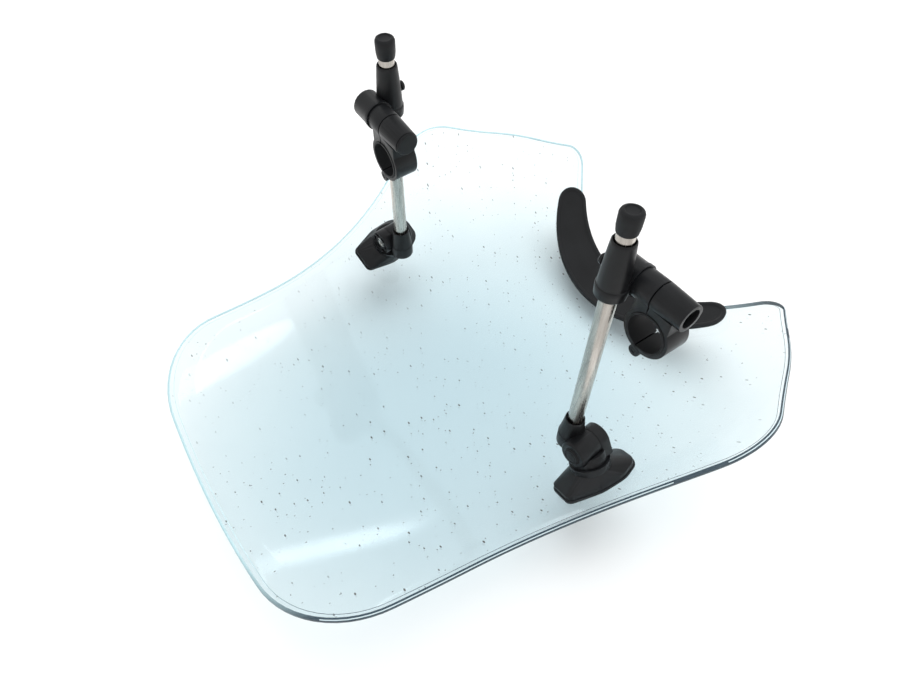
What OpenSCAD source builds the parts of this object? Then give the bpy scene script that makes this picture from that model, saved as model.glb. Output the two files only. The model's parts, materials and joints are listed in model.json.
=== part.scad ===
// Universal motorcycle windshield screen with two handlebar arms.
// The screen lies on its convex front face, rider side up.
// +Z is up, +Y points to the headlight cut-out, +X to the right arm.
// The origin is on the floor, under the middle of the bounding box.

/* [Screen] */
// Thickness of the acrylic sheet
screen_t = 4; // [3:0.5:5]
// Radius of the cross-section of the rider side
bend_r = 246; // [230:1:300]
// Radius of the lengthwise curve of the rider side
crown_r = 685; // [500:5:1200]
// Half of the overall length
half_len = 215.5; // [200:0.5:230]

/* [Headlight cut-out] */
// Radius of the cut-out
cut_r = 130; // [120:1:140]
// Distance from the middle of the screen to the deepest point of the cut-out
cut_y = 163; // [155:1:170]
// Radius of the inner edge of the trim
trim_r = 124; // [118:1:128]
// Width of the trim at its middle
trim_w = 33; // [24:1:36]
// Thickness of the trim's rider-side flange
trim_t = 3; // [2:0.5:4]

/* [Feet] */
// Distance of each foot from the middle plane, along X
foot_x = 135.5; // [130:0.5:140]
// Place of the feet along Y
foot_y = 7; // [0:1:15]
// Height of the hinge axis above the screen
hinge_h = 28; // [26:0.5:32]
// Turn of the feet about their screws, with their wide ends outwards
foot_toe = 8; // [0:1:15]
// Radius of the hinge barrel
barrel_r = 9.75; // [9:0.25:10.5]

/* [Rods] */
// Diameter of the rod
rod_d = 10; // [9.5:0.1:10.5]
// Fold of each rod at its hinge, outwards from the normal of the screen
rod_fold = 30.2; // [20:0.1:33]
// Swivel of the right knuckle
right_swivel = 6.2; // [0:0.1:10]
// Swivel of the left knuckle
left_swivel = 3.6; // [0:0.1:10]
// Distance from the hinge axis to the rod axis
rod_off = 12.7; // [12:0.1:14]
// Distance from the hinge axis to the top of the rod cap
rod_top = 185; // [175:1:200]

/* [Handlebar clamps] */
// Diameter of the handlebar that the clamp holds
bar_d = 22.2; // [22:0.1:22.4]
// Distance from the hinge axis to the arm axis, along the rod
arm_h = 139.5; // [100:0.5:140]
// Distance from the rod axis to the arm axis
arm_off = 12.8; // [12.6:0.1:14]
// Radius of the arm
arm_r = 8.8; // [8.5:0.1:9]
// Width of the clamp along the handlebar
clamp_w = 16; // [14:0.5:18]

/* [Hidden] */
$fn = 64;
eps = 0.01;
run_fit = 0.05;                       // radial clearance of a running fit
slip = 0.3;                           // gap between parts that move past each other

axis_z = screen_t + bend_r;           // height of the axis that the screen bends around
foot_a = asin(foot_x / bend_r);       // slope of the screen under a foot
gasket_t = 2.2;                       // from the screen to the flat underside of a foot
collar_h = 16.5;                      // height of the foot's collar above the screen
collar_r = 14;
seat_h = 9.5;                         // height of the knuckle's seat inside the collar
seat_r = 12;
seat_gap = 0.1;                       // under the knuckle and under the bolt head
screw_gap = 0.25;                     // around the foot screw in its clearance holes
screw_r = 3;                          // M6 screw through the screen
screw_top = 16;                       // height of its end inside the knuckle

cheek_y = 5;                          // where the cheek starts along the hinge axis
cheek_end = 13;
socket_end = -13;
hinge_bolt_r = 2.5;
mouth_h = 18;                         // height of the socket's mouth above the hinge axis
rod_foot = -5.5;                      // height of the rod's lower end
cap_len = 13;
cap_r = 6.3;
rod_r = rod_d / 2;

sleeve_top = 28;                      // top of the slider above the arm axis
sleeve_low = -8;
tee_back = -9.5;                      // end of the slider's barrel, away from the arm
tee_front = 8;                        // front of the barrel's ring
tee_r = 9.3;
arm_start = 8.3;                      // where the arm turns against the barrel
seam_x = 21;                          // plane where the two jaws meet
arm_end = 40;
arm_tip_r = 7.9;
bolt_r = 3;
head_x = 31.5;                        // where the head of the arm bolt rests
head_h = 4;
head_r = 4.6;
well_r = 5.7;
jaw_hole_r = 3.9;                     // leaves room for the bolt as the outer jaw opens
bore_x = 24;                          // place of the handlebar bore along the arm
bore_z = -20.5;                       // and below the arm axis
liner_r = 12.6;
jaw_r = 14.6;
split_gap = 0.8;
jaw_pin_r = 1.5;
jaw_pin_z = bore_z - jaw_r - 1.6;
lobe_r = 3.6;                         // stays outside the liner seat, so the jaw can swing
lobe_mid = clamp_w / 2 - 4;           // half of the outer jaw's lobe along the pin

// ---------- outlines ----------

function unit(v) = v / norm(v);

// Points of the arc of radius r that rounds corner b of the path a, b, c
function fillet(a, b, c, r, step = 4) =
    let (p = unit(a - b), q = unit(c - b), half = acos(p * q) / 2,
         d = r / tan(half), centre = b + unit(p + q) * r / sin(half),
         s = b + p * d - centre, e = b + q * d - centre,
         turn = sign(s.x * e.y - s.y * e.x) * (180 - 2 * half),
         n = max(2, ceil(abs(turn) / step)), a0 = atan2(s.y, s.x))
    [for (i = [0:n]) centre + r * [cos(a0 + turn * i / n), sin(a0 + turn * i / n)]];

// A closed outline, symmetric about x = 0, from corners [x, y, radius] of its right half
function half_path(c) =
    [for (i = [1:len(c) - 2])
        each fillet([c[i - 1].x, c[i - 1].y], [c[i].x, c[i].y], [c[i + 1].x, c[i + 1].y], c[i].z)];
function mirrored(p) = concat(p, [for (i = [len(p) - 1:-1:0]) [-p[i].x, p[i].y]]);

// Right half of the screen: top edge, waist, wing and wing tip, up to the cut-out
cut_end_x = 80;
cut_cy = cut_y + cut_r;
cut_slope = cut_end_x / sqrt(cut_r * cut_r - cut_end_x * cut_end_x);
cut_end_y = cut_cy - sqrt(cut_r * cut_r - cut_end_x * cut_end_x);
tip_dx = 35;
screen_corners = [
    [-125, 10.5 - half_len, 0],
    [0, -half_len - 4, 600],
    [125, 10.5 - half_len, 70],
    [147.8, -26.4, 500],
    [197.2, 84, 64],
    [155.2, 167.1, 200],
    [cut_end_x + tip_dx, cut_end_y + tip_dx * cut_slope, 15],
    [cut_end_x, cut_end_y, 0]];

module screen_outline() {
    difference() {
        polygon(mirrored([for (p = half_path(screen_corners)) if (p.x >= 0) p]));
        translate([0, cut_cy]) circle(r = cut_r, $fn = 180);
    }
}

trim_edge_t = 2.5;                    // of the trim, over the edge of the cut-out
trim_cy = cut_y - trim_w + trim_r;
trim_edge_r = cut_r - trim_edge_t;
trim_end_x = 82;

// Centre of a trim end, as far from the inner arc as from the edge arc: it lies on
// the ellipse whose foci are the centres of both arcs
end_axis = (trim_r + trim_edge_r) / 2;
end_focus = (cut_cy - trim_cy) / 2;
end_y = (trim_cy + cut_cy) / 2
    - end_axis * sqrt(1 - pow(trim_end_x, 2) / (pow(end_axis, 2) - pow(end_focus, 2)));
trim_end = [trim_end_x, end_y];
trim_end_r = trim_r - norm(trim_end - [0, trim_cy]);

// Outline of the trim: a crescent between two arcs, with round ends
module crescent() {
    reach = trim_end_r + 5;
    difference() {
        intersection() {
            translate([0, trim_cy]) circle(r = trim_r, $fn = 180);
            for (s = [-1, 1]) scale([s, 1]) polygon([[0, 100],
                trim_end + reach * unit(trim_end - [0, trim_cy]), trim_end,
                trim_end + reach * unit([0, cut_cy] - trim_end), [0, trim_cy]]);
        }
        translate([0, cut_cy]) circle(r = trim_edge_r, $fn = 180);
    }
    for (s = [-1, 1]) translate([s * trim_end.x, trim_end.y]) circle(r = trim_end_r);
}

// ---------- the curved sheet ----------

crown_x = bend_r - crown_r;

// Turns a profile about the axis that the screen bends around
module bend() {
    translate([0, 0, axis_z]) rotate([90, 0, 0]) rotate([0, 0, -155])
        rotate_extrude(angle = 130, $fn = 256) children();
}

// Solid between two offsets of the rider-side surface, counted away from the rider
module sheet(from, to) {
    bend() intersection() {
        difference() {
            translate([crown_x, 0]) circle(r = crown_r + to, $fn = 360);
            translate([crown_x, 0]) circle(r = crown_r + from, $fn = 360);
        }
        translate([60, -250]) square([300, 500]);
    }
}

// Block on the rider side, whose outside follows the screen near its middle
module backing(depth) {
    bend() polygon(concat(
        [for (a = [-5:0.5:5]) [crown_x + crown_r * cos(a), crown_r * sin(a)]],
        [for (s = [1, -1]) [bend_r - depth, s * crown_r * sin(5)]]));
}

// ---------- frames ----------

// On the rider side of the screen at a foot; local Z is the inward normal
module at_foot(side) {
    translate([0, foot_y, axis_z]) rotate([0, -side * foot_a, 0]) translate([0, 0, -bend_r]) children();
}

function half_turn(side) = side > 0 ? 0 : 180;
function swivel(side) = side > 0 ? right_swivel : left_swivel;

// The same frame, turned with the knuckle, whose local X then points outwards
module at_knuckle(side) {
    at_foot(side) rotate([0, 0, half_turn(side) + swivel(side)]) children();
}

// Hinge axis of a foot, with local Z along the rod
module at_hinge(side) {
    at_knuckle(side) translate([0, 0, hinge_h]) rotate([0, rod_fold, 0]) children();
}

module at_rod(side) {
    at_hinge(side) translate([-rod_off, 0, 0]) children();
}

// Where the arm axis passes the rod; local X runs along the arm, always to +X
module at_arm(side) {
    at_rod(side) rotate([0, 0, half_turn(side) - swivel(side) * cos(rod_fold)])
        translate([0, 0, arm_h]) scale([1, side, 1]) children();
}

module along_x(x) {
    translate([x, arm_off, 0]) rotate([0, 90, 0]) children();
}

module along_y(y) {
    translate([0, y, 0]) rotate([-90, 0, 0]) children();
}

// ---------- screen and trim ----------

module screen() {
    color([0.78, 0.9, 0.93, 0.6]) difference() {
        intersection() {
            sheet(0, screen_t);
            translate([0, 0, -5]) linear_extrude(200) screen_outline();
        }
        for (side = [-1, 1]) at_foot(side) translate([0, 0, -12])
            cylinder(r = screw_r + screw_gap, h = 14);
    }
}

module cutout_trim() {
    front_t = 2;
    front_w = 8;
    color([0.1, 0.1, 0.1]) {
        intersection() {
            sheet(-trim_t, 0);
            translate([0, 0, -5]) linear_extrude(200) crescent();
        }
        intersection() {
            sheet(0, screen_t);
            translate([0, 0, -5]) linear_extrude(200) difference() {
                crescent();
                screen_outline();
            }
        }
        intersection() {
            sheet(screen_t, screen_t + front_t);
            translate([0, 0, -5]) linear_extrude(200) difference() {
                crescent();
                difference() {
                    translate([0, 100]) square([260, 400], center = true);
                    translate([0, cut_cy]) circle(r = cut_r + front_w, $fn = 180);
                }
            }
        }
    }
}

// ---------- feet ----------

foot_corners = [[-10.5, -27, 0], [10.5, -27, 5], [16.5, -4, 24], [16, 14, 20], [9, 28, 9], [-9, 28, 0]];

module foot_outline() {
    polygon(mirrored(half_path(foot_corners)));
}

module foot_gasket(side) {
    color([0.05, 0.05, 0.05]) difference() {
        intersection() {
            backing(20);
            at_foot(side) rotate([0, 0, -side * foot_toe]) translate([0, 0, -1])
                linear_extrude(gasket_t + 1) scale(1.03) foot_outline();
        }
        at_foot(side) translate([0, 0, -5]) cylinder(r = screw_r + screw_gap, h = 14);
    }
}

module foot(side) {
    skirt_h = 3;
    color([0.12, 0.12, 0.12]) at_foot(side) rotate([0, 0, -side * foot_toe]) difference() {
        union() {
            hull() {
                translate([0, 0, gasket_t]) linear_extrude(skirt_h) foot_outline();
                translate([0, 0, collar_h - 5]) cylinder(r = collar_r - 1, h = 1, $fn = 48);
            }
            translate([0, 0, gasket_t + 2]) cylinder(r = collar_r - 2, h = 10);
            translate([0, 0, collar_h - 4.5]) cylinder(r = collar_r, h = 4.5);
        }
        translate([0, 0, seat_h]) cylinder(r = seat_r + slip, h = 12);
        translate([0, 0, gasket_t - 1]) cylinder(r = screw_r + screw_gap, h = 20);
    }
}

washer_t = 1.5;
screw_head_h = 3;
under_washer = -screen_t - washer_t;

// Screw from the front of the screen, with its head on a washer and its end in the knuckle
module foot_screw(side) {
    color("silver") at_foot(side) difference() {
        union() {
            translate([0, 0, under_washer - screw_head_h]) cylinder(r = 5.5, h = screw_head_h);
            translate([0, 0, under_washer]) cylinder(r = screw_r, h = screw_top - under_washer);
        }
        translate([0, 0, under_washer - screw_head_h - 1]) cylinder(r = 2, h = 3, $fn = 6);
    }
}

module foot_washer(side) {
    color([0.05, 0.05, 0.05]) at_foot(side) translate([0, 0, under_washer]) difference() {
        cylinder(r = 7, h = washer_t);
        translate([0, 0, -1]) cylinder(r = screw_r, h = washer_t + 2);
    }
}

// ---------- hinge ----------

// Disc in the foot's collar, with the cheek that holds the hinge
module knuckle(side) {
    disc_top = collar_h + 0.6;
    neck = 6;                         // leaves the rod socket room to swing
    saddle_h = 7;
    saddle_in = 3;
    nut_depth = 3.2;
    rib_depth = 2;
    color([0.12, 0.12, 0.12]) at_knuckle(side) difference() {
        union() {
            translate([0, 0, seat_h + seat_gap]) cylinder(r = seat_r, h = disc_top - seat_h - seat_gap);
            translate([-neck, cheek_y, disc_top - 1]) cube([2 * neck, 3, 2]);
            translate([-neck, cheek_y, disc_top])
                cube([neck + barrel_r, cheek_end - cheek_y, hinge_h - disc_top]);
            translate([0, 0, hinge_h]) along_y(cheek_y) cylinder(r = barrel_r, h = cheek_end - cheek_y);
            // saddle beside the socket's half of the barrel
            intersection() {
                translate([0, 0, disc_top - 1]) cylinder(r = seat_r, h = saddle_h + 1);
                translate([-saddle_in, -seat_r, 0]) cube([2 * seat_r, seat_r + cheek_y + 1, hinge_h]);
            }
        }
        translate([0, 0, seat_h]) cylinder(r = screw_r + run_fit, h = screw_top + 0.3 - seat_h);
        translate([0, 0, hinge_h]) {
            along_y(-20) cylinder(r = barrel_r + slip, h = 20 + cheek_y);
            along_y(0) cylinder(r = hinge_bolt_r, h = 20);
            along_y(cheek_end - nut_depth) cylinder(r = 4.7, h = 5, $fn = 6);
            for (a = [30:60:330]) along_y(cheek_end - rib_depth) rotate([0, 0, a]) rib_pocket();
        }
    }
}

// One pocket between two ribs of the cheek
module rib_pocket() {
    intersection() {
        difference() {
            cylinder(r = barrel_r - 1, h = 3);
            translate([0, 0, -1]) cylinder(r = 5.9, h = 5);
        }
        linear_extrude(3) polygon([[0, 0], [12, -4.6], [12, 4.6]]);
    }
}

module hinge_bolt(side) {
    color("silver") at_knuckle(side) translate([0, 0, hinge_h]) {
        along_y(socket_end + 5) cylinder(r = hinge_bolt_r, h = cheek_end - socket_end - 5.5);
        along_y(socket_end + 2.5) cylinder(r = 4, h = 3.2);
    }
}

module hinge_nut(side) {
    color("silver") at_knuckle(side) translate([0, 0, hinge_h]) difference() {
        along_y(cheek_end - 3.2) cylinder(r = 4.6, h = 3, $fn = 6);
        along_y(0) cylinder(r = hinge_bolt_r, h = 20);
    }
}

// Other half of the hinge barrel, with the boss that the rod's lower end sits in
module rod_socket(side) {
    color([0.12, 0.12, 0.12]) difference() {
        union() {
            at_hinge(side) {
                along_y(socket_end + 1)
                    cylinder(r = barrel_r, h = cheek_y - slip - socket_end - 1);
                along_y(socket_end) cylinder(r1 = barrel_r - 1, r2 = barrel_r, h = 1);
            }
            at_rod(side) {
                translate([0, 0, -8]) cylinder(r = 8.9, h = 10);
                translate([0, 0, -9]) cylinder(r1 = 7.9, r2 = 8.9, h = 1);
                translate([0, 0, 2]) cylinder(r1 = 8.6, r2 = 6.4, h = mouth_h - 2);
            }
        }
        at_hinge(side) {
            // sweep of the cheek
            along_y(cheek_y - slip) cylinder(r = barrel_r + slip, h = 20);
            along_y(-30) cylinder(r = hinge_bolt_r + run_fit, h = 50);
            along_y(socket_end + 2) cylinder(r = 4.3, h = 4);
            along_y(socket_end - 1) cylinder(r = 5.5, h = 3);
        }
        at_rod(side) {
            translate([0, 0, rod_foot - slip]) cylinder(r = rod_r + run_fit, h = 40);
            translate([0, 0, mouth_h - 1]) cylinder(r1 = rod_r + run_fit, r2 = rod_r + 1, h = 1 + eps);
        }
    }
}

module hinge_cap(side) {
    color([0.08, 0.08, 0.08]) at_hinge(side) difference() {
        union() {
            along_y(socket_end - 1.5) cylinder(r = 5.4, h = 3.4);
            along_y(socket_end - 1.5) cylinder(r1 = 5, r2 = 6.4, h = 1.4);
        }
        along_y(socket_end - 2) difference() {
            cylinder(r = 4.4, h = 0.8);
            cylinder(r = 3.6, h = 2);
        }
    }
}

// ---------- rod ----------

module rod(side) {
    color([0.75, 0.75, 0.73]) at_rod(side) translate([0, 0, rod_foot])
        cylinder(r = rod_r, h = rod_top - 4 - rod_foot);
}

module rod_cap(side) {
    color([0.1, 0.1, 0.1]) at_rod(side) translate([0, 0, rod_top - cap_len]) difference() {
        rotate_extrude() polygon([[0, 0], [cap_r - 1, 0], [cap_r - 0.6, 0.5], [cap_r - 0.1, 4],
            [cap_r, 8], [cap_r, 11], [cap_r - 0.5, 12.3], [cap_r - 1.5, cap_len],
            [cap_r - 2.4, cap_len], [cap_r - 2.8, 12.4], [0, 12.2]]);
        translate([0, 0, -1]) cylinder(r = rod_r, h = cap_len - 3);
    }
}

// ---------- slider ----------

module slider(side) {
    color([0.12, 0.12, 0.12]) at_arm(side) difference() {
        union() {
            translate([0, 0, sleeve_low]) rotate_extrude() polygon([[0, 0], [8.4, 0], [8.8, 0.6],
                [9.1, 4.4], [9.1, 6.6], [8.8, 7.2], [8.5, 7.3], [8.4, 10], [8, 18], [7.4, 26],
                [6.9, 32], [6.6, 35.2], [6.1, 36], [0, 36]]);
            along_x(tee_back + 1) cylinder(r = tee_r, h = tee_front - tee_back - 1);
            along_x(tee_back) cylinder(r1 = tee_r - 1, r2 = tee_r, h = 1);
            along_x(tee_front - 2.5) cylinder(r = tee_r + 0.4, h = 2.5);
        }
        translate([0, 0, sleeve_low - 1]) cylinder(r = rod_r + run_fit, h = 50);
        translate([0, 0, sleeve_top - 2]) cylinder(r1 = rod_r + run_fit, r2 = rod_r + 0.9, h = 2 + eps);
        along_x(tee_back + 8) cylinder(r = bolt_r + run_fit, h = 30);
        along_x(tee_back + 5) cylinder(r = 5.8, h = 5, $fn = 6);
        along_x(tee_back + 1.5) cylinder(r = bolt_r + 1, h = 4);
        at_set_screw(side) cylinder(r = 2, h = 8);
    }
}

// Beside the rod, where the set screw presses on it; local Z points outwards
module at_set_screw(side) {
    rotate([0, 0, side > 0 ? 180 : -90]) translate([rod_r + 0.1, 0, 9]) rotate([0, 90, 0]) children();
}

module set_screw(side) {
    color([0.08, 0.08, 0.08]) at_arm(side) at_set_screw(side) {
        cylinder(r = 2, h = 4);
        translate([0, 0, 3.3]) cylinder(r = 3.2, h = 1.8);
        translate([0, 0, 5.1]) cylinder(r1 = 3.2, r2 = 2.4, h = 0.7);
    }
}

module arm_nut(side) {
    color("silver") at_arm(side) difference() {
        along_x(tee_back + 5) cylinder(r = 5.7, h = 4.9, $fn = 6);
        along_x(tee_back) cylinder(r = bolt_r + run_fit, h = 30);
    }
}

// ---------- handlebar clamp ----------

module arm_bolt(side) {
    head_start = head_x + seat_gap;
    color("silver") at_arm(side) difference() {
        union() {
            along_x(tee_back + 4) cylinder(r = bolt_r, h = head_start - tee_back - 4);
            along_x(head_start) cylinder(r = head_r, h = head_h - 0.5);
            along_x(head_start + head_h - 0.5) cylinder(r1 = head_r, r2 = head_r - 0.5, h = 0.5);
        }
        along_x(head_start + head_h - 2.2) cylinder(r = 2.5, h = 3, $fn = 6);
    }
}

// The whole clamp, before it is split into its two jaws
module clamp_blank() {
    along_x(arm_start) cylinder(r = arm_r, h = seam_x - arm_start);
    along_x(seam_x) cylinder(r1 = arm_r, r2 = arm_tip_r, h = arm_end - seam_x);
    translate([bore_x, arm_off - clamp_w / 2, bore_z]) rotate([-90, 0, 0])
        cylinder(r = jaw_r, h = clamp_w);
    translate([bore_x - 12, arm_off - clamp_w / 2, bore_z + 3]) cube([24, clamp_w, 14]);
}

module clamp_bores() {
    translate([bore_x, arm_off - clamp_w, bore_z]) rotate([-90, 0, 0])
        cylinder(r = liner_r, h = 2 * clamp_w);
    along_x(0) cylinder(r = bolt_r + run_fit, h = seam_x);
}

module jaw_lobe(y0, y1) {
    translate([seam_x, arm_off + y0, jaw_pin_z]) rotate([-90, 0, 0]) cylinder(r = lobe_r, h = y1 - y0);
}

module jaw_pin_hole(r) {
    translate([seam_x, arm_off - clamp_w, jaw_pin_z]) rotate([-90, 0, 0]) cylinder(r = r, h = 2 * clamp_w);
}

module inner_jaw(side) {
    color([0.12, 0.12, 0.12]) at_arm(side) difference() {
        union() {
            intersection() {
                clamp_blank();
                translate([-50, -50, -100]) cube([50 + seam_x - split_gap / 2, 100, 200]);
            }
            for (s = [-1, 1]) jaw_lobe(s > 0 ? lobe_mid + slip / 2 : -clamp_w / 2,
                s > 0 ? clamp_w / 2 : -lobe_mid - slip / 2);
        }
        clamp_bores();
        jaw_pin_hole(jaw_pin_r);
        jaw_room(-lobe_mid - slip / 2, lobe_mid + slip / 2);
    }
}

// Space swept by the other jaw's lobe
module jaw_room(y0, y1) {
    translate([seam_x, arm_off + y0, jaw_pin_z]) rotate([-90, 0, 0])
        cylinder(r = lobe_r + slip, h = y1 - y0);
}

module outer_jaw(side) {
    color([0.12, 0.12, 0.12]) at_arm(side) difference() {
        union() {
            intersection() {
                clamp_blank();
                translate([seam_x + split_gap / 2, -50, -100]) cube([50, 100, 200]);
            }
            jaw_lobe(-lobe_mid + slip / 2, lobe_mid - slip / 2);
        }
        clamp_bores();
        along_x(seam_x - 1) cylinder(r = jaw_hole_r, h = head_x - seam_x + 2);
        along_x(head_x) cylinder(r = well_r, h = 20);
        jaw_pin_hole(jaw_pin_r + run_fit);
        for (s = [-1, 1])
            jaw_room(s > 0 ? lobe_mid - slip / 2 : -clamp_w, s > 0 ? clamp_w : -lobe_mid + slip / 2);
    }
}

module jaw_pin(side) {
    color([0.1, 0.1, 0.1]) at_arm(side) translate([seam_x, arm_off - clamp_w / 2 + 0.2, jaw_pin_z])
        rotate([-90, 0, 0]) cylinder(r = jaw_pin_r, h = clamp_w - 0.4);
}

module liner() {
    bevel = 0.3;
    half_w = clamp_w / 2 + 0.5;
    translate([bore_x, arm_off, bore_z]) rotate([-90, 0, 0]) rotate_extrude() polygon([
        [bar_d / 2, -half_w], [liner_r - bevel, -half_w], [liner_r, bevel - half_w],
        [liner_r, half_w - bevel], [liner_r - bevel, half_w], [bar_d / 2, half_w]]);
}

module inner_liner(side) {
    color([0.08, 0.08, 0.08]) at_arm(side) intersection() {
        liner();
        translate([-50, -50, -100]) cube([50 + seam_x - split_gap / 2, 100, 200]);
    }
}

module outer_liner(side) {
    color([0.08, 0.08, 0.08]) at_arm(side) intersection() {
        liner();
        translate([seam_x + split_gap / 2, -50, -100]) cube([50, 100, 200]);
    }
}

module arm_cap(side) {
    color([0.08, 0.08, 0.08]) at_arm(side) {
        along_x(arm_end - 1.5) cylinder(r = well_r, h = 1.5);
        along_x(arm_end) cylinder(r = arm_tip_r - 0.4, h = 1);
        along_x(arm_end + 1) cylinder(r1 = arm_tip_r - 0.4, r2 = arm_tip_r - 1.2, h = 0.7);
    }
}

screen();
cutout_trim();
foot_gasket(1);  // right_foot_gasket
foot(1);  // right_foot
foot_washer(1);  // right_foot_washer
foot_screw(1);  // right_foot_screw
knuckle(1);  // right_knuckle
hinge_bolt(1);  // right_hinge_bolt
hinge_nut(1);  // right_hinge_nut
rod_socket(1);  // right_rod_socket
hinge_cap(1);  // right_hinge_cap
rod(1);  // right_rod
rod_cap(1);  // right_rod_cap
slider(1);  // right_slider
set_screw(1);  // right_set_screw
arm_nut(1);  // right_arm_nut
arm_bolt(1);  // right_arm_bolt
inner_jaw(1);  // right_inner_jaw
inner_liner(1);  // right_inner_liner
jaw_pin(1);  // right_jaw_pin
outer_jaw(1);  // right_outer_jaw
outer_liner(1);  // right_outer_liner
foot_gasket(-1);  // left_foot_gasket
foot(-1);  // left_foot
foot_washer(-1);  // left_foot_washer
foot_screw(-1);  // left_foot_screw
knuckle(-1);  // left_knuckle
hinge_bolt(-1);  // left_hinge_bolt
hinge_nut(-1);  // left_hinge_nut
rod_socket(-1);  // left_rod_socket
hinge_cap(-1);  // left_hinge_cap
rod(-1);  // left_rod
rod_cap(-1);  // left_rod_cap
slider(-1);  // left_slider
set_screw(-1);  // left_set_screw
arm_nut(-1);  // left_arm_nut
arm_bolt(-1);  // left_arm_bolt
inner_jaw(-1);  // left_inner_jaw
inner_liner(-1);  // left_inner_liner
jaw_pin(-1);  // left_jaw_pin
outer_jaw(-1);  // left_outer_jaw
outer_liner(-1);  // left_outer_liner
arm_cap(-1);  // left_arm_cap
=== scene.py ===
"""Looks of the windshield screen: a clear tinted sheet on two rod arms with handlebar clamps."""

import json
import math

import bmesh
import bpy
from mathutils import Matrix, Vector


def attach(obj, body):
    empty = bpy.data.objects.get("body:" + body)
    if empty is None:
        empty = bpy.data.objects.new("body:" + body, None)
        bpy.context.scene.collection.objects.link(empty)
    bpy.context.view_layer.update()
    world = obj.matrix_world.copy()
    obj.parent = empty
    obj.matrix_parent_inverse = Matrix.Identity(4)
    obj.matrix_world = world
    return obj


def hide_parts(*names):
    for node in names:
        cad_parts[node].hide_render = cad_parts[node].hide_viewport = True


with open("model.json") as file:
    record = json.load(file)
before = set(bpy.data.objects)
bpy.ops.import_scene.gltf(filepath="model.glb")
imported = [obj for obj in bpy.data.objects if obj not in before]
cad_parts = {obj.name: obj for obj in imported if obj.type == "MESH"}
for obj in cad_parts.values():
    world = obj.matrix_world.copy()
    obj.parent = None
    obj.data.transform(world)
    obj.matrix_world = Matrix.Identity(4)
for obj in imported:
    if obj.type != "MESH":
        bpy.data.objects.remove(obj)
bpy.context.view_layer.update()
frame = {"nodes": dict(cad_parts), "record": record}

MM = 0.001

# The curved sheet, in millimetres, with the same driving sizes as the CAD model
SHEET_T = 4.0
BEND_R = 246.0  # bend from side to side, on the rider side
CROWN_R = 685.0  # slower curve from end to end
AXIS_Z = SHEET_T + BEND_R
HALF_LEN = 215.5
LOW_Y = 10.5 - HALF_LEN
CUT_R = 130.0  # headlight cut-out
CUT_Y = 163.0
CUT_CY = CUT_Y + CUT_R
CUT_END_X = 80.0
TIP_REACH = 35.0
TIP_FILLET = 15.0
# (x, y, fillet radius) along the top edge and round the right half, up to the shoulder
CORNERS = [(-125, LOW_Y, 0), (0, -HALF_LEN - 4, 600), (125, LOW_Y, 70), (147.8, -26.4, 500),
           (197.2, 84, 64), (155.2, 167.1, 200)]
FILLET_STEPS, ARC_STEPS = 14, 40
OUTLINE_STEP = 4.0
GROOVE = ((3.4, 0.0), (3.0, 0.15))  # (distance from the round edge, depth) of the line inside it
FACE_STEPS = 40
RIM_STEPS = 10

# The trim on the cut-out, in millimetres
TRIM_R = 124.0
TRIM_W = 33.0
TRIM_CY = CUT_Y - TRIM_W + TRIM_R
WEB_T = 2.5
TRIM_EDGE_R = CUT_R - WEB_T
TRIM_END_X = 82.0
TRIM_T = 3.0
BORDER_W = 4.2
# (distance from the outline, height) across the raised border of the flange
BORDER = [(0.0, 0.0), (0.0, TRIM_T - 0.9), (0.25, TRIM_T - 0.35), (0.9, TRIM_T), (2.4, TRIM_T),
          (3.0, TRIM_T - 0.25), (3.5, TRIM_T - 0.8), (BORDER_W, TRIM_T - 1.0)]
# (distance outwards, depth from the rider side) round the section of the lip
LIP = [(0.3, -0.6), (0.0, -0.2), (0.0, 5.4), (0.6, 6.0), (9.6, 6.0), (10.2, 5.5),
       (10.2, SHEET_T), (WEB_T, SHEET_T), (WEB_T, -0.6)]
LIP_END = 0.02  # radians short of the flange's ends
SPINE_STEPS, CAP_STEPS, LIP_STEPS = 80, 16, 70

# Meshes: angles in degrees, distances in metres
PIECE_SHARP, FITTING_SHARP, ROUNDED_FROM, FLAT_BELOW = 40, 34, 28, 0.4
WELD, CAD_WELD = 1e-6, 2e-6


# ---------- shapes of the sheet ----------


def sheet_point(x, y, t):
    """Point of the sheet over (x, y), t millimetres from its rider side, away from the rider."""
    radius = BEND_R - CROWN_R + math.sqrt((CROWN_R + t) ** 2 - y * y)
    return Vector((x, y, AXIS_Z - math.sqrt(radius * radius - x * x)))


def sheet_normal(p):
    """Unit normal of the sheet at p, pointing away from the rider."""
    out = Vector((p.x, 0, p.z - AXIS_Z))
    ring = out.normalized() * (BEND_R - CROWN_R)
    return Vector((p.x - ring.x, p.y, p.z - AXIS_Z - ring.z)).normalized()


def fillet(a, b, c, r, steps):
    """Points of the arc of radius r that rounds corner b of the path a, b, c."""
    p, q = (a - b).normalized(), (c - b).normalized()
    half = math.acos(max(-1.0, min(1.0, p.dot(q)))) / 2
    start, end = b + p * (r / math.tan(half)), b + q * (r / math.tan(half))
    centre = b + (p + q).normalized() * (r / math.sin(half))
    s, e = start - centre, end - centre
    turn = math.atan2(s.x * e.y - s.y * e.x, s.dot(e))
    return [centre + Matrix.Rotation(turn * i / steps, 2) @ s for i in range(steps + 1)]


def spaced(points, step):
    """The closed outline through points, with a point about every step millimetres."""
    out = []
    for a, b in zip(points, points[1:] + points[:1]):
        n = max(1, round((b - a).length / step))
        out += [a.lerp(b, i / n) for i in range(n)]
    return out


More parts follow.
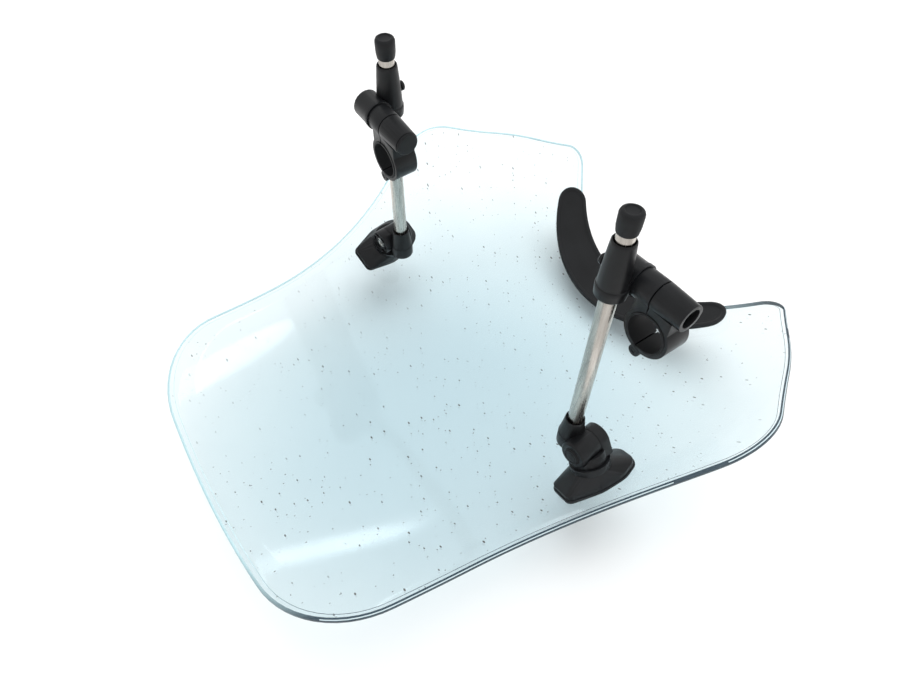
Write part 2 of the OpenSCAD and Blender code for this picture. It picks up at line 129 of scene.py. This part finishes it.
def screen_outline():
    """The screen seen from above, as a closed list of points, counter-clockwise."""
    drop = math.sqrt(CUT_R**2 - CUT_END_X**2)
    end = Vector((CUT_END_X, CUT_CY - drop))
    tip = end + Vector((TIP_REACH, TIP_REACH * CUT_END_X / drop))
    corners = CORNERS + [(tip.x, tip.y, TIP_FILLET), (end.x, end.y, 0)]
    half = []
    for a, b, c in zip(corners, corners[1:], corners[2:]):
        half += fillet(Vector(a[:2]), Vector(b[:2]), Vector(c[:2]), b[2], FILLET_STEPS)
    half = [p for p in half if p.x >= 0]
    span = math.asin(CUT_END_X / CUT_R)
    arc = [span * (1 - i / ARC_STEPS) for i in range(ARC_STEPS)]
    half += [Vector((CUT_R * math.sin(a), CUT_CY - CUT_R * math.cos(a))) for a in arc]
    other = [Vector((-p.x, p.y)) for p in reversed(half) if p.x > 0.01]
    return spaced(half + [Vector((0, CUT_Y))] + other, OUTLINE_STEP)


# ---------- meshes ----------


def piece(name, verts, faces, material, body, *nodes):
    """A smooth object from points in millimetres that rides on a body and stands for CAD nodes."""
    mesh = bpy.data.meshes.new(name)
    mesh.from_pydata([Vector(v) * MM for v in verts], [], faces)
    obj = bpy.data.objects.new(name, mesh)
    bpy.context.collection.objects.link(obj)
    tidy(mesh, PIECE_SHARP)
    mesh.materials.append(material)
    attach(obj, body)
    if nodes:
        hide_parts(*nodes)
    return obj


def tidy(mesh, sharp_deg):
    """Faces outwards, smooth shading, and edges over sharp_deg kept sharp."""
    bm = bmesh.new()
    bm.from_mesh(mesh)
    bmesh.ops.remove_doubles(bm, verts=bm.verts, dist=WELD)
    bmesh.ops.recalc_face_normals(bm, faces=bm.faces)
    for f in bm.faces:
        f.smooth = True
    for e in bm.edges:
        e.smooth = len(e.link_faces) == 2 and e.calc_face_angle(0) < math.radians(sharp_deg)
    bm.to_mesh(mesh)
    bm.free()


def bridge(rings):
    """Points of closed rings of equal length, and the faces between each ring and the next."""
    n = len(rings[0])
    verts = [p for ring in rings for p in ring]
    faces = []
    for k in range(len(rings) - 1):
        a, b = k * n, (k + 1) * n
        faces += [(a + i, a + (i + 1) % n, b + (i + 1) % n, b + i) for i in range(n)]
    return verts, faces


# ---------- materials ----------


class Nodes:
    """A short way to build a material's node tree."""

    def __init__(self, name):
        self.material = bpy.data.materials.new(name)
        self.material.use_nodes = True
        self.tree = self.material.node_tree
        self.tree.nodes.clear()
        self.out = self.tree.nodes.new("ShaderNodeOutputMaterial")

    def add(self, kind, inputs=None, **settings):
        node = self.tree.nodes.new("ShaderNode" + kind)
        for key, value in settings.items():
            setattr(node, key, value)
        for key, value in (inputs or {}).items():
            if isinstance(value, bpy.types.NodeSocket):
                self.tree.links.new(value, node.inputs[key])
            else:
                node.inputs[key].default_value = value
        return node

    def noise(self, scale, detail=4.0, rough=0.6, stretch=(1, 1, 1)):
        place = self.add("TexCoord").outputs["Object"]
        size = self.add("Mapping", {"Vector": place, "Scale": stretch}).outputs[0]
        values = {"Vector": size, "Scale": scale, "Detail": detail, "Roughness": rough}
        return self.add("TexNoise", values).outputs[0]

    def ramp(self, value, stops):
        node = self.add("ValToRGB", {"Fac": value})
        node.color_ramp.elements[0].position = stops[0][0]
        node.color_ramp.elements[0].color = (*stops[0][1], 1)
        node.color_ramp.elements[1].position = stops[-1][0]
        node.color_ramp.elements[1].color = (*stops[-1][1], 1)
        for at, colour in stops[1:-1]:
            node.color_ramp.elements.new(at).color = (*colour, 1)
        return node.outputs[0]

    def remap(self, value, low, high, start=0.35, end=0.65):
        values = {"Value": value, 1: start, 2: end, 3: low, 4: high}
        return self.add("MapRange", values).outputs[0]

    def bump(self, height, depth, strength=1.0, under=None):
        values = {"Height": height, "Distance": depth, "Strength": strength}
        if under is not None:
            values["Normal"] = under
        return self.add("Bump", values).outputs[0]

    def finish(self, shader):
        self.tree.links.new(shader, self.out.inputs["Surface"])
        return self.material


ACRYLIC_IOR = 1.49
DUST = (0.12, 0.115, 0.11)
GRIME = (0.10, 0.095, 0.09)


def grained_plastic(name, dark, light, rough, grain, depth):
    """Moulded black plastic or rubber: fine grain, cloudy gloss, dust and rubbed edges."""
    n = Nodes(name)
    cloud = n.noise(38, 5)
    fine = n.noise(grain, 2, 0.7)
    dust = n.noise(420, 6, 0.8)
    edge = n.add("NewGeometry").outputs["Pointiness"]
    base = n.ramp(cloud, [(0.3, dark), (0.7, light)])
    rubbed = [c * 2.2 + 0.006 for c in light]
    wear = n.add("Mix", {"Factor": n.remap(edge, 0, 0.5, 0.52, 0.60)}, data_type="RGBA")
    n.tree.links.new(base, wear.inputs["A"])
    wear.inputs["B"].default_value = (*rubbed, 1)
    dusty = n.add("Mix", {"Factor": n.remap(dust, 0, 0.4, 0.69, 0.76)}, data_type="RGBA")
    n.tree.links.new(wear.outputs["Result"], dusty.inputs["A"])
    dusty.inputs["B"].default_value = (*DUST, 1)
    coarse = n.bump(cloud, 0.00006, 0.5)
    values = {
        "Base Color": dusty.outputs["Result"],
        "Roughness": n.remap(cloud, rough - 0.07, rough + 0.08),
        "Specular IOR Level": 0.28,
        "Normal": n.bump(fine, depth, 0.8, coarse),
    }
    return n.finish(n.add("BsdfPrincipled", values).outputs[0])


def brushed_metal(name, dark, light, rough, stretch):
    """Metal with streaks; stretch makes them long in one direction."""
    n = Nodes(name)
    streak = n.noise(420, 3, 0.6, stretch)
    shade = n.noise(120, 2, 0.5, stretch)
    base = n.ramp(streak, [(0.3, dark), (0.7, light)])
    tone = n.add("Mix", {"Factor": n.remap(shade, 0, 0.5, 0.45, 0.65)}, data_type="RGBA")
    n.tree.links.new(base, tone.inputs["A"])
    tone.inputs["B"].default_value = (*[c * 0.6 for c in dark], 1)
    values = {
        "Base Color": tone.outputs["Result"],
        "Metallic": 1.0,
        "Roughness": n.remap(streak, rough - 0.05, rough + 0.08),
        "Anisotropic": 0.5,
        "Normal": n.bump(streak, 0.00001, 0.3),
    }
    return n.finish(n.add("BsdfPrincipled", values).outputs[0])


def specks(n, scale, radius, share, stretch):
    """Where sparse grains lie: 1 inside a grain, 0 elsewhere."""
    place = n.add("TexCoord").outputs["Object"]
    bent = n.add("Mapping", {"Vector": place, "Scale": stretch, "Rotation": (0, 0, scale)})
    values = {"Vector": bent.outputs[0], "Scale": scale}
    cell = n.add("TexVoronoi", values, voronoi_dimensions="2D")
    pick = n.add("SeparateColor", {"Color": cell.outputs["Color"]})
    size = n.remap(pick.outputs[0], 0.4 * radius, radius, 0, 1)
    inside = n.add("Math", {0: cell.outputs["Distance"], 1: size}, operation="LESS_THAN")
    chosen = n.add("Math", {0: pick.outputs[1], 1: share}, operation="LESS_THAN")
    both = n.add("Math", {0: inside.outputs[0], 1: chosen.outputs[0]}, operation="MULTIPLY")
    return both.outputs[0]


def place_along(n, axis, start, end):
    """0 to 1 along one axis of the object, between two distances in metres."""
    place = n.add("TexCoord").outputs["Object"]
    split = n.add("SeparateXYZ", {0: place})
    return n.add("MapRange", {"Value": split.outputs[axis], 1: start, 2: end}).outputs[0]


def acrylic_face(name, dirt):
    """Clear blue acrylic: tinted and see-through, with painted shadow darkening its middle, a
    mirror gloss and grains of dirt.
    """
    n = Nodes(name)
    cloud = n.noise(11, 3)
    # Painted shadow: the tint is darker near the middle of the sheet and paler towards its ends. It
    # stands in for the shade on the floor seen through the sheet.
    place = n.add("TexCoord").outputs["Object"]
    flat = n.add("Mapping", {"Vector": place, "Location": (-0.03, 0.04, 0), "Scale": (1, 1, 0)})
    away = n.add("VectorMath", {0: flat.outputs[0]}, operation="LENGTH").outputs["Value"]
    values = {"Value": away, 1: 0.06, 2: 0.24}
    middle = n.add("MapRange", values, interpolation_type="SMOOTHSTEP").outputs[0]
    tint_with_painted_shadow = n.ramp(middle, [(0, (0.855, 0.912, 0.930)), (1, (0.935, 0.972, 0.98))])
    mottle = n.add("Mix", {"Factor": n.remap(cloud, 0, 0.25)}, data_type="RGBA")
    n.tree.links.new(tint_with_painted_shadow, mottle.inputs["A"])
    mottle.inputs["B"].default_value = (0.84, 0.90, 0.92, 1)
    clear = n.add("BsdfTransparent", {"Color": mottle.outputs["Result"]}).outputs[0]
    rough = n.remap(cloud, 0.04, 0.08)
    gloss = n.add("BsdfGlossy", {"Roughness": rough, "Color": (0.8, 0.87, 0.9, 1)}).outputs[0]
    inner = n.add("NewGeometry").outputs["Backfacing"]
    index = n.remap(inner, ACRYLIC_IOR, 1 / ACRYLIC_IOR, 0, 1)
    mirror = n.add("Fresnel", {"IOR": index}).outputs[0]
    sheet = n.add("MixShader", {0: mirror, 1: clear, 2: gloss}).outputs[0]
    grime = n.add("BsdfDiffuse", {"Color": (*GRIME, 1)}).outputs[0]
    coarse = specks(n, 70, 0.085, 0.30, (1, 1.9, 1))
    fine = specks(n, 170, 0.10, 0.12, (1.7, 1, 1))
    patchy = n.remap(n.noise(9, 2), 0.25 * dirt, 0.9 * dirt, 0.4, 0.6)
    grains = n.add("Math", {0: coarse, 1: fine}, operation="MAXIMUM").outputs[0]
    part = n.add("Math", {0: grains, 1: patchy}, operation="MULTIPLY").outputs[0]
    return n.finish(n.add("MixShader", {0: part, 1: sheet, 2: grime}).outputs[0])


def acrylic_rim(name, dark, pale, clear_pale, clear_dark):
    """The polished rim, with painted shade: darkest along its right side, where the way through the
    sheet is longest, and pale along its left.
    """
    n = Nodes(name)
    cloud = n.noise(60, 4)
    # Painted shade: pale on the left of the sheet, dark on its right, and less see-through there.
    side = place_along(n, 0, 0.04, 0.11)
    colour = n.add("Mix", {"Factor": side}, data_type="RGBA")
    colour.inputs["A"].default_value = (*pale, 1)
    colour.inputs["B"].default_value = (*dark, 1)
    clear = n.add("BsdfTransparent", {"Color": (0.82, 0.91, 0.94, 1)}).outputs[0]
    values = {
        "Base Color": colour.outputs["Result"],
        "Roughness": n.remap(cloud, 0.06, 0.16),
        "IOR": ACRYLIC_IOR,
    }
    body = n.add("BsdfPrincipled", values).outputs[0]
    through = n.add("MapRange", {"Value": side, 3: clear_pale, 4: clear_dark}).outputs[0]
    return n.finish(n.add("MixShader", {0: through, 1: body, 2: clear}).outputs[0])


BLACK, GREY = (0.0045, 0.005, 0.0058), (0.009, 0.0098, 0.011)
MATERIALS = {
    "acrylic": acrylic_face("acrylic_face", 1.0),
    "trim_plastic": grained_plastic("trim_plastic", BLACK, GREY, 0.46, 1500, 0.00006),
    "arm_plastic": grained_plastic("arm_plastic", BLACK, GREY, 0.36, 1900, 0.00003),
    "cap_rubber": grained_plastic("cap_rubber", BLACK, GREY, 0.5, 1300, 0.00004),
    "liner_rubber": grained_plastic("liner_rubber", BLACK, GREY, 0.58, 1100, 0.00005),
    "gasket_rubber": grained_plastic("gasket_rubber", BLACK, GREY, 0.55, 1100, 0.00005),
    "brushed_steel": brushed_metal("brushed_steel", (0.42, 0.39, 0.355), (0.70, 0.665, 0.61),
                                   0.24, (1, 1, 0.02)),
    "zinc_steel": brushed_metal("zinc_steel", (0.55, 0.55, 0.52), (0.82, 0.82, 0.79),
                                0.24, (1, 1, 1)),
}
SHEET_PARTS = [
    # The rim materials carry painted shade, and the rim line is a paler painted light line along
    # the round edge.
    acrylic_rim("acrylic_rim", (0.016, 0.036, 0.055), (0.50, 0.72, 0.76), 0.35, 0.06),
    acrylic_rim("acrylic_rim_line", (0.62, 0.74, 0.78), (0.84, 0.93, 0.95), 0.3, 0.2),
    acrylic_face("acrylic_front", 0.12),
]
RIM, RIM_LINE, FRONT = 1, 2, 3  # material numbers of the parts above
# How far a face leans to the front of the sheet: 1 on the front, -1 on the rider side
FRONT_LEAN, RIDER_LEAN, LINE_LEAN = 0.97, -0.95, (-0.45, -0.2)


# ---------- the pieces ----------


def make_screen():
    """The sheet with exact curved faces, a fine groove round it and a full round edge."""
    outline = screen_outline()
    n = len(outline)
    mid = [sheet_point(p.x, p.y, SHEET_T / 2) for p in outline]
    out = []
    for i, p in enumerate(mid):
        along = (mid[(i + 1) % n] - mid[i - 1]).normalized()
        out.append(along.cross(sheet_normal(p)).normalized())
    if out[0].xy.dot(outline[0]) < 0:
        out = [-b for b in out]
    r = SHEET_T / 2
    back = [p - b * r for p, b in zip(mid, out)]
    rings = [shrunk(back, k, 0.0) for k in range(1, FACE_STEPS - 2)]
    for inset, t in GROOVE:
        ring = [p - b * inset for p, b in zip(back, out)]
        rings.append([sheet_point(p.x, p.y, t) for p in ring])
    groove_start = (len(rings) - 2) * n
    groove_end = groove_start + n
    rings += round_edge(back, out, r)
    rings += [shrunk(back, k, SHEET_T) for k in range(FACE_STEPS - 1, 0, -1)]
    verts, faces = bridge(rings)
    first, last = len(verts), len(verts) + 1
    verts += [sheet_point(0, 0, 0), sheet_point(0, 0, SHEET_T)]
    end = (len(rings) - 1) * n
    faces += [(first, (i + 1) % n, i) for i in range(n)]
    faces += [(last, end + i, end + (i + 1) % n) for i in range(n)]
    obj = piece("screen_sheet", verts, faces, MATERIALS["acrylic"], "screen", "screen")
    for part in SHEET_PARTS:
        obj.data.materials.append(part)
    # The groove and the round edge take the rim's painted shade, and one band of the edge takes the
    # paler painted light line.
    for f in obj.data.polygons:
        lean = f.normal.dot(sheet_normal(f.center / MM))
        if groove_start <= f.index < groove_end:
            f.material_index = RIM
        elif lean > FRONT_LEAN:
            f.material_index = FRONT
        elif lean > RIDER_LEAN:
            f.material_index = RIM_LINE if LINE_LEAN[0] < lean < LINE_LEAN[1] else RIM
    return obj


def shrunk(ring, k, t):
    """The ring drawn in to k steps of FACE_STEPS from the middle of the sheet, at depth t."""
    return [sheet_point(q.x * k / FACE_STEPS, q.y * k / FACE_STEPS, t) for q in ring]


def round_edge(back, out, r):
    """Rings of the half-round rim, from the rider side to the front."""
    rings = []
    for k in range(RIM_STEPS + 1):
        a = math.pi * (k / RIM_STEPS - 0.5)
        rings.append([p + b * (r * math.cos(a)) + sheet_normal(p) * (r * math.sin(a))
                      for p, b in zip(back, out)])
    return rings


def trim_spine(x):
    """Point midway between the trim's two arcs, and half the trim's width there."""
    a = (TRIM_R + TRIM_EDGE_R) / 2
    c = (CUT_CY - TRIM_CY) / 2
    y = (TRIM_CY + CUT_CY) / 2 - a * math.sqrt(1 - x * x / (a * a - c * c))
    p = Vector((x, y))
    return p, TRIM_R - (p - Vector((0, TRIM_CY))).length


def trim_loop():
    """(spine point, outline point) pairs all round the trim, counter-clockwise from its left."""
    low, high = Vector((0, TRIM_CY)), Vector((0, CUT_CY))
    turns = [math.pi / 2 * (2 * i / SPINE_STEPS - 1) for i in range(SPINE_STEPS + 1)]
    xs = [TRIM_END_X * math.sin(a) for a in turns]
    pairs = []
    for x in xs:
        s, w = trim_spine(x)
        pairs.append((s, s + (s - low).normalized() * w))
    s, w = trim_spine(TRIM_END_X)
    start, stop = (s - low).normalized() * w, (high - s).normalized() * w
    turn = math.atan2(start.x * stop.y - start.y * stop.x, start.dot(stop))
    end = [(s, s + Matrix.Rotation(turn * i / CAP_STEPS, 2) @ start) for i in range(1, CAP_STEPS)]
    pairs += end
    for x in reversed(xs):
        s, w = trim_spine(x)
        pairs.append((s, s + (high - s).normalized() * w))
    pairs += [(Vector((-a.x, a.y)), Vector((-b.x, b.y))) for a, b in reversed(end)]
    return pairs


def towards_spine(s, q, inset):
    """Point inset millimetres from the outline point q, on the way to the spine point s."""
    return q + (s - q).normalized() * min(inset, (s - q).length * 0.9)


def make_trim():
    """Crescent flange with a raised rim, and the lip that grips the edge of the cut-out."""
    pairs = trim_loop()
    top = []
    for inset, height in BORDER:
        ring = [towards_spine(s, q, inset) for s, q in pairs]
        top.append([sheet_point(p.x, p.y, -height) for p in ring])
    for share in (0.7, 0.4, 0.15):
        ring = [s + (towards_spine(s, q, BORDER_W) - s) * share for s, q in pairs]
        top.append([sheet_point(p.x, p.y, 1.0 - TRIM_T - 0.25 * (1 - share)) for p in ring])
    top.append([sheet_point(*s, -(TRIM_T - 0.75)) for s, q in pairs])
    base = [[sheet_point(*s, 0.0) for s, q in pairs]]
    for share in (0.15, 0.6, 1.0):
        base.append([sheet_point(*(s + (q - s) * share), 0.0) for s, q in pairs])
    verts, faces = bridge(top)
    base_verts, base_faces = bridge(base)
    faces += [tuple(i + len(verts) for i in f) for f in base_faces]
    verts += base_verts
    lip_verts, lip_faces = trim_lip()
    faces += [tuple(i + len(verts) for i in f) for f in lip_faces]
    verts += lip_verts
    plastic = MATERIALS["trim_plastic"]
    obj = piece("cutout_trim_moulding", verts, faces, plastic, "screen", "cutout_trim")
    return obj


def trim_lip():
    """Channel swept along the cut-out: a web over the edge and a flange on the front."""
    span = math.asin(TRIM_END_X / CUT_R) - LIP_END
    rings = []
    for k in range(LIP_STEPS + 1):
        a = span * (2 * k / LIP_STEPS - 1)
        ring = []
        for out, t in LIP:
            r = TRIM_EDGE_R + out
            ring.append(sheet_point(r * math.sin(a), CUT_CY - r * math.cos(a), t))
        rings.append(ring)
    verts, faces = bridge(rings)
    m = len(LIP)
    faces.append(tuple(range(m)))
    faces.append(tuple(reversed(range(LIP_STEPS * m, LIP_STEPS * m + m))))
    return verts, faces


def refine(node, body, slot, width):
    """Copies a CAD node's mesh with welded faces and rounded edges, to stand for the node."""
    name = node + "_moulded" if slot.endswith(("plastic", "rubber")) else node + "_machined"
    mesh = frame["nodes"][node].data.copy()
    mesh.name = name
    bm = bmesh.new()
    bm.from_mesh(mesh)
    bmesh.ops.remove_doubles(bm, verts=bm.verts, dist=CAD_WELD)
    flat = math.radians(FLAT_BELOW)
    bmesh.ops.dissolve_limit(bm, angle_limit=flat, verts=bm.verts, edges=bm.edges)
    steep = math.radians(ROUNDED_FROM)
    sharp = [e for e in bm.edges if len(e.link_faces) == 2 and e.calc_face_angle(0) > steep]
    bmesh.ops.bevel(bm, geom=sharp, offset=width * MM, offset_type="OFFSET", segments=3,
                    profile=0.5, affect="EDGES", clamp_overlap=True, miter_outer="ARC")
    bm.to_mesh(mesh)
    bm.free()
    obj = bpy.data.objects.new(name, mesh)
    bpy.context.collection.objects.link(obj)
    tidy(mesh, FITTING_SHARP)
    mesh.materials.clear()
    mesh.materials.append(MATERIALS[slot])
    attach(obj, body)
    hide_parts(node)
    return obj


# Width in millimetres of the rounded edges of each material
EDGE_WIDTHS = {"arm_plastic": 0.35, "cap_rubber": 0.25, "liner_rubber": 0.2, "gasket_rubber": 0.25,
               "brushed_steel": 0.4, "zinc_steel": 0.2}


def make_hardware():
    """Every fitting on the two arms."""
    record = frame["record"]
    slots = {part["node"]: part["material_slot"] for part in record["subparts"]}
    for body, nodes in record["behaviour"]["bodies"].items():
        for node in nodes:
            if slots[node] in EDGE_WIDTHS:
                refine(node, body, slots[node], EDGE_WIDTHS[slots[node]])


# ---------- stage ----------


FLOOR_SIZE, FLOOR_Z = 12, -0.0006
WORLD_STRENGTH = 0.75


def make_floor():
    """A wide pale floor just under the part."""
    bpy.ops.mesh.primitive_plane_add(size=FLOOR_SIZE, location=(0, 0, FLOOR_Z))
    floor = bpy.context.object
    floor.name = "floor"
    n = Nodes("floor_white")
    paper = n.ramp(n.noise(6, 3), [(0.3, (0.86, 0.86, 0.86)), (0.7, (0.88, 0.88, 0.88))])
    floor.data.materials.append(n.finish(n.add("BsdfDiffuse", {"Color": paper}).outputs[0]))


def area_light(name, place, aim, size, power, seen):
    """A soft oval panel that faces aim; seen says whether it shows in glossy reflections."""
    data = bpy.data.lights.new(name, "AREA")
    data.shape = "ELLIPSE"
    data.size, data.size_y = size
    data.energy = power
    light = bpy.data.objects.new(name, data)
    light.location = place
    light.rotation_euler = (Vector(aim) - Vector(place)).to_track_quat("-Z", "Y").to_euler()
    light.visible_glossy = seen
    bpy.context.collection.objects.link(light)


def make_light():
    """An even white room, a wide soft light, and two small ones for the highlights on the sheet."""
    world = bpy.data.worlds.new("studio")
    world.use_nodes = True
    background = world.node_tree.nodes["Background"]
    background.inputs["Color"].default_value = (1, 1, 1, 1)
    background.inputs["Strength"].default_value = WORLD_STRENGTH
    bpy.context.scene.world = world
    area_light("window", (-1.41, 0.56, 0.95), (0.06, -0.19, 0.035), (0.06, 0.5), 0.27, True)
    area_light("skylight", (0.18, 0.75, 1.68), (-0.09, -0.17, 0.04), (0.36, 0.1), 0.3, True)
    area_light("overhead", (-0.4, 0.6, 2.0), (0, 0, 0), (2.4, 2.4), 40, False)


def make_camera():
    """The photograph's camera: its lens, place and direction."""
    data = bpy.data.cameras.new("camera")
    data.lens = 25.6
    data.sensor_width = 36
    data.clip_start = 0.01
    camera = bpy.data.objects.new("camera", data)
    camera.location = (0.2298, -0.1792, 0.450)
    look = Vector((-0.4907, 0.3436, -0.8007))
    camera.rotation_euler = look.to_track_quat("-Z", "Y").to_euler()
    bpy.context.collection.objects.link(camera)
    bpy.context.scene.camera = camera


bpy.context.scene.view_settings.view_transform = "Standard"
make_camera()
make_screen()
make_trim()
make_hardware()
make_floor()
make_light()
